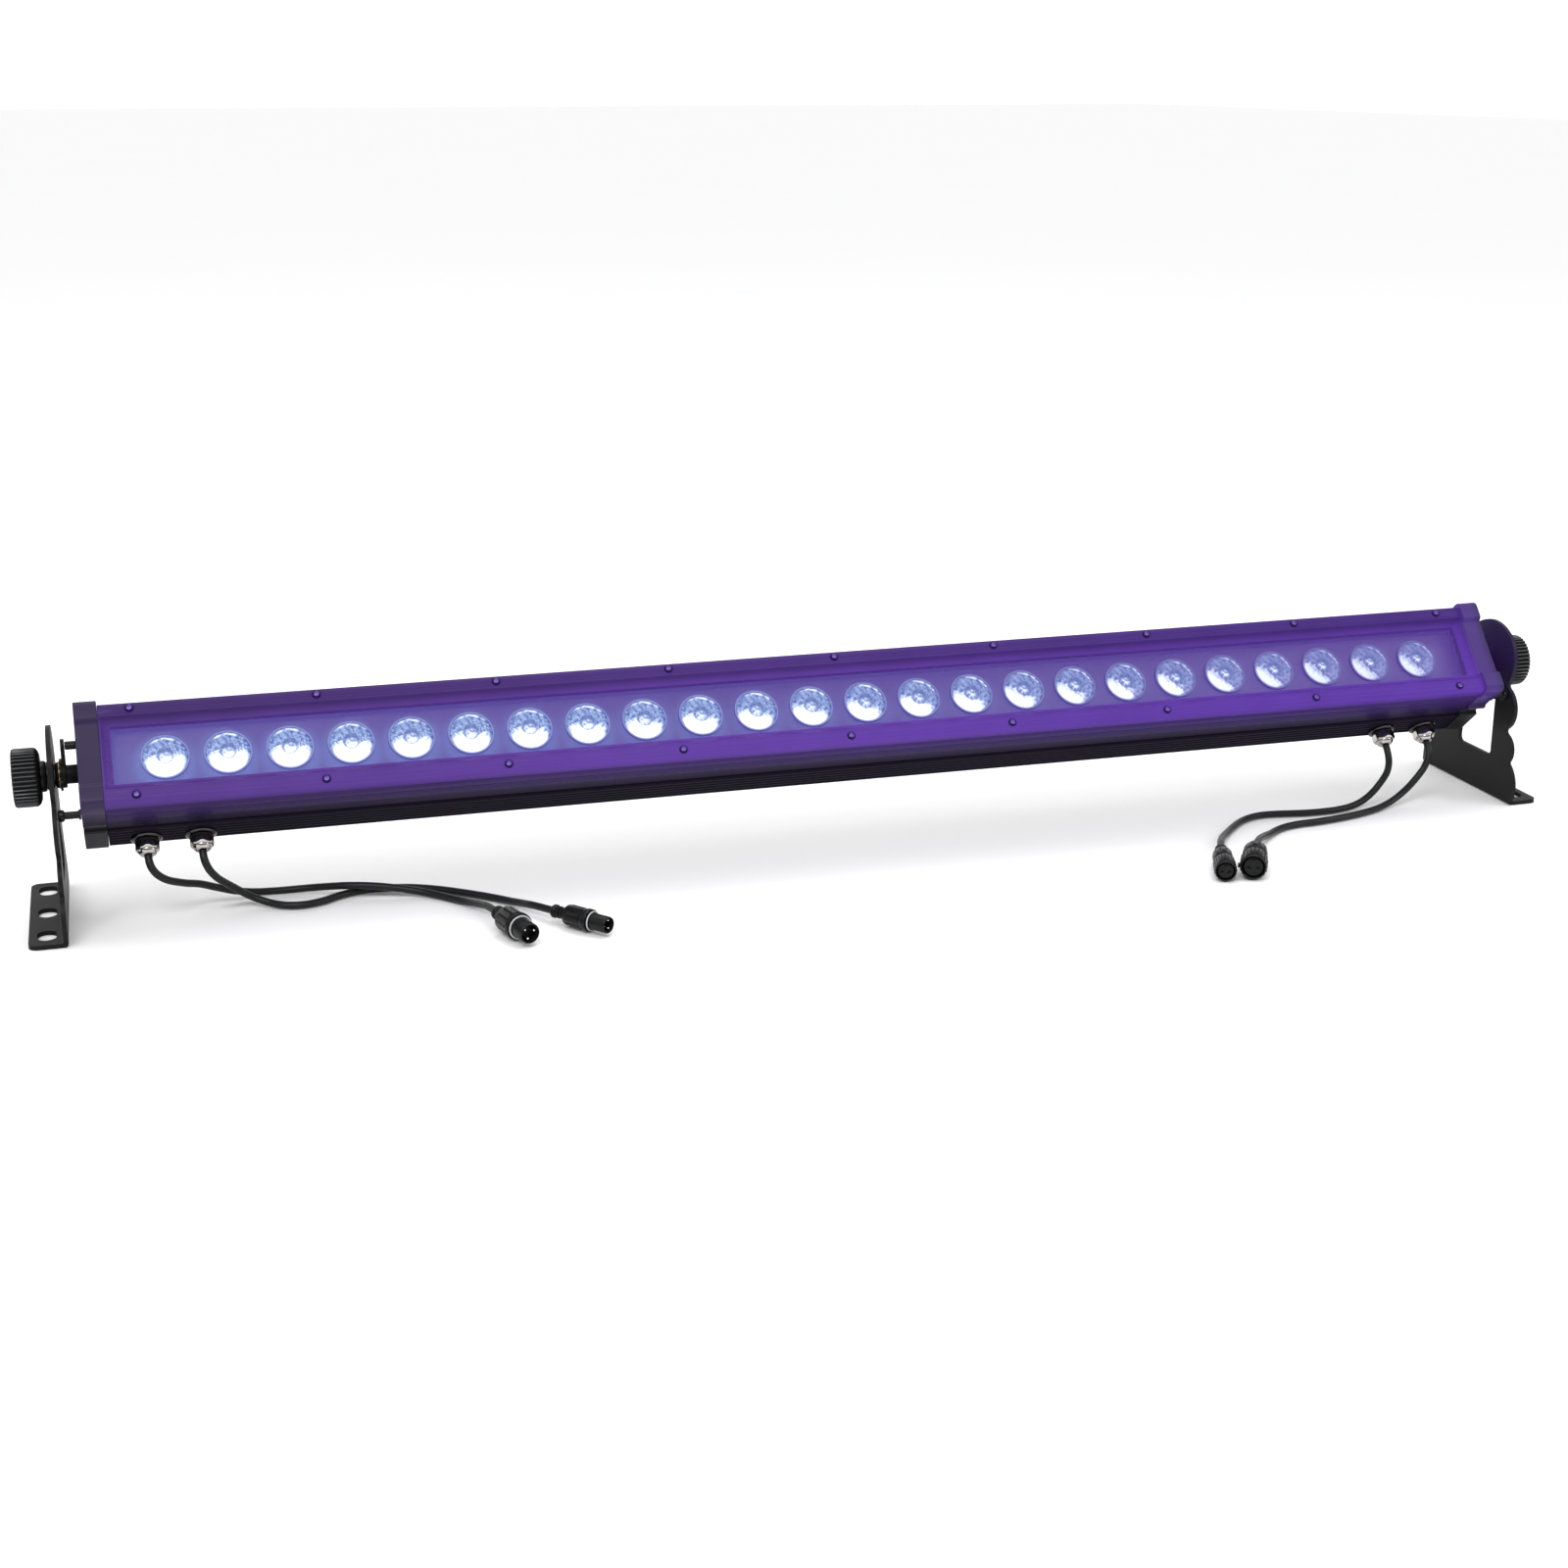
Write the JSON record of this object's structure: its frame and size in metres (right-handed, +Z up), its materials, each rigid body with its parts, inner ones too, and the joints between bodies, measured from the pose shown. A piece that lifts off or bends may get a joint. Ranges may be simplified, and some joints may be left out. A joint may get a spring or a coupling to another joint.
{
  "type": "led strip batten",
  "caption": "Linear LED stage light bar with a sealed window over a row of lenses, tilting on two end brackets with hand knobs, with short plug and socket leads.",
  "frame": {"origin": "centre of the floor area under the light, with the two bracket feet on Z = 0; the leads are left out", "axes": "+X along the bar to the end with the sockets, +Y to the back, +Z up; the window faces front and up"},
  "size_m": [1.112, 0.2275, 0.1499],
  "materials": {
    "housing_anodised": "black anodised extrusion, satin, with fine lengthwise fins",
    "bezel_anodised": "black anodised, satin, lit violet by the lenses",
    "cap_plastic": "dark grey moulded end caps with a light grain",
    "powder_coat": "satin black powder coat with a fine texture",
    "knob_plastic": "black moulded plastic",
    "screw_steel": "plated steel",
    "gland_nickel": "nickel-plated brass, bright",
    "cable_rubber": "round black rubber jacket, slightly shiny",
    "connector_plastic": "black moulded connectors",
    "seal_rubber": "white silicone sealing ring",
    "black_rubber": "black silicone",
    "window_glass": "clear toughened glass",
    "lens_clear": "moulded lenses, lit violet blue",
    "led_board": "white solder mask with emitters",
    "driver_case": "plain driver case",
    "circuit_board": "green circuit board with components"
  },
  "bodies": {
    "head": {"bezel_frame": "bezel_anodised", "bottom_bezel_screw_1": "screw_steel", "bottom_bezel_screw_2": "screw_steel", "bottom_bezel_screw_3": "screw_steel", "bottom_bezel_screw_4": "screw_steel", "bottom_bezel_screw_5": "screw_steel", "bottom_bezel_screw_6": "screw_steel", "bottom_bezel_screw_7": "screw_steel", "bottom_bezel_screw_8": "screw_steel", "bottom_bezel_screw_9": "screw_steel", "control_board": "circuit_board", "data_in_cable": "cable_rubber", "data_in_gland_body": "gland_nickel", "data_in_gland_nut": "gland_nickel", "data_in_plug_body": "connector_plastic", "data_in_plug_seal": "seal_rubber", "data_out_cable": "cable_rubber", "data_out_gland_body": "gland_nickel", "data_out_gland_nut": "gland_nickel", "data_out_socket_body": "connector_plastic", "driver_unit": "driver_case", "housing_extrusion": "housing_anodised", "led_board": "led_board", "left_end_cap": "cap_plastic", "left_guide_stud": "knob_plastic", "left_pivot_arm": "powder_coat", "left_standoff": "screw_steel", "lens_array": "lens_clear", "power_in_cable": "cable_rubber", "power_in_gland_body": "gland_nickel", "power_in_gland_nut": "gland_nickel", "power_in_plug_body": "connector_plastic", "power_in_plug_seal": "seal_rubber", "power_out_cable": "cable_rubber", "power_out_gland_body": "gland_nickel", "power_out_gland_nut": "gland_nickel", "power_out_socket_body": "connector_plastic", "right_end_cap": "cap_plastic", "right_guide_stud": "knob_plastic", "right_pivot_arm": "powder_coat", "right_standoff": "screw_steel", "top_bezel_screw_1": "screw_steel", "top_bezel_screw_2": "screw_steel", "top_bezel_screw_3": "screw_steel", "top_bezel_screw_4": "screw_steel", "top_bezel_screw_5": "screw_steel", "top_bezel_screw_6": "screw_steel", "top_bezel_screw_7": "screw_steel", "top_bezel_screw_8": "screw_steel", "top_bezel_screw_9": "screw_steel", "window_gasket": "black_rubber", "window_glass": "window_glass"},
    "left_bracket": {"left_bracket": "powder_coat"},
    "right_bracket": {"right_bracket": "powder_coat"},
    "left_knob_travel": {"left_knob_washer": "screw_steel"},
    "right_knob_travel": {"right_knob_washer": "screw_steel"},
    "left_knob": {"left_knob": "knob_plastic"},
    "right_knob": {"right_knob": "knob_plastic"},
    "data_out_ring": {"data_out_locking_ring": "connector_plastic"},
    "power_out_ring": {"power_out_locking_ring": "connector_plastic"}
  },
  "joints": [
    {"name": "left_bracket_tilt", "type": "hinge", "parent": "head", "child": "left_bracket", "pos_m": [-0.5315, -0.0155, 0.1027], "axis": [1, 0, 0], "range_deg": [-41.4, 138.6]},
    {"name": "right_bracket_tilt", "type": "hinge", "parent": "head", "child": "right_bracket", "pos_m": [0.5315, -0.0155, 0.1027], "axis": [1, 0, 0], "range_deg": [-41.4, 138.6]},
    {"name": "left_knob_travel", "type": "slide", "parent": "head", "child": "left_knob_travel", "axis": [-1, 0, 0], "range_m": [0, 0.0026]},
    {"name": "left_knob_turn", "type": "hinge", "parent": "left_knob_travel", "child": "left_knob", "pos_m": [-0.547, -0.0155, 0.1027], "axis": [-1, 0, 0], "range_deg": [0, 720]},
    {"name": "right_knob_travel", "type": "slide", "parent": "head", "child": "right_knob_travel", "axis": [1, 0, 0], "range_m": [0, 0.0026]},
    {"name": "right_knob_turn", "type": "hinge", "parent": "right_knob_travel", "child": "right_knob", "pos_m": [0.547, -0.0155, 0.1027], "axis": [1, 0, 0], "range_deg": [0, 720]},
    {"name": "data_out_ring_spin", "type": "hinge", "parent": "head", "child": "data_out_ring", "pos_m": [0.2599, -0.1135, 0.008], "axis": [-0.3806, -0.9247, 0], "continuous": true},
    {"name": "power_out_ring_spin", "type": "hinge", "parent": "head", "child": "power_out_ring", "pos_m": [0.2851, -0.1184, 0.0098], "axis": [-0.4942, -0.8694, 0], "continuous": true}
  ],
  "couplings": [
    {"joint": "left_knob_travel", "follows": "left_knob_turn", "m_per_rad": 0.00019894},
    {"joint": "right_knob_travel", "follows": "right_knob_turn", "m_per_rad": 0.00019894}
  ]
}
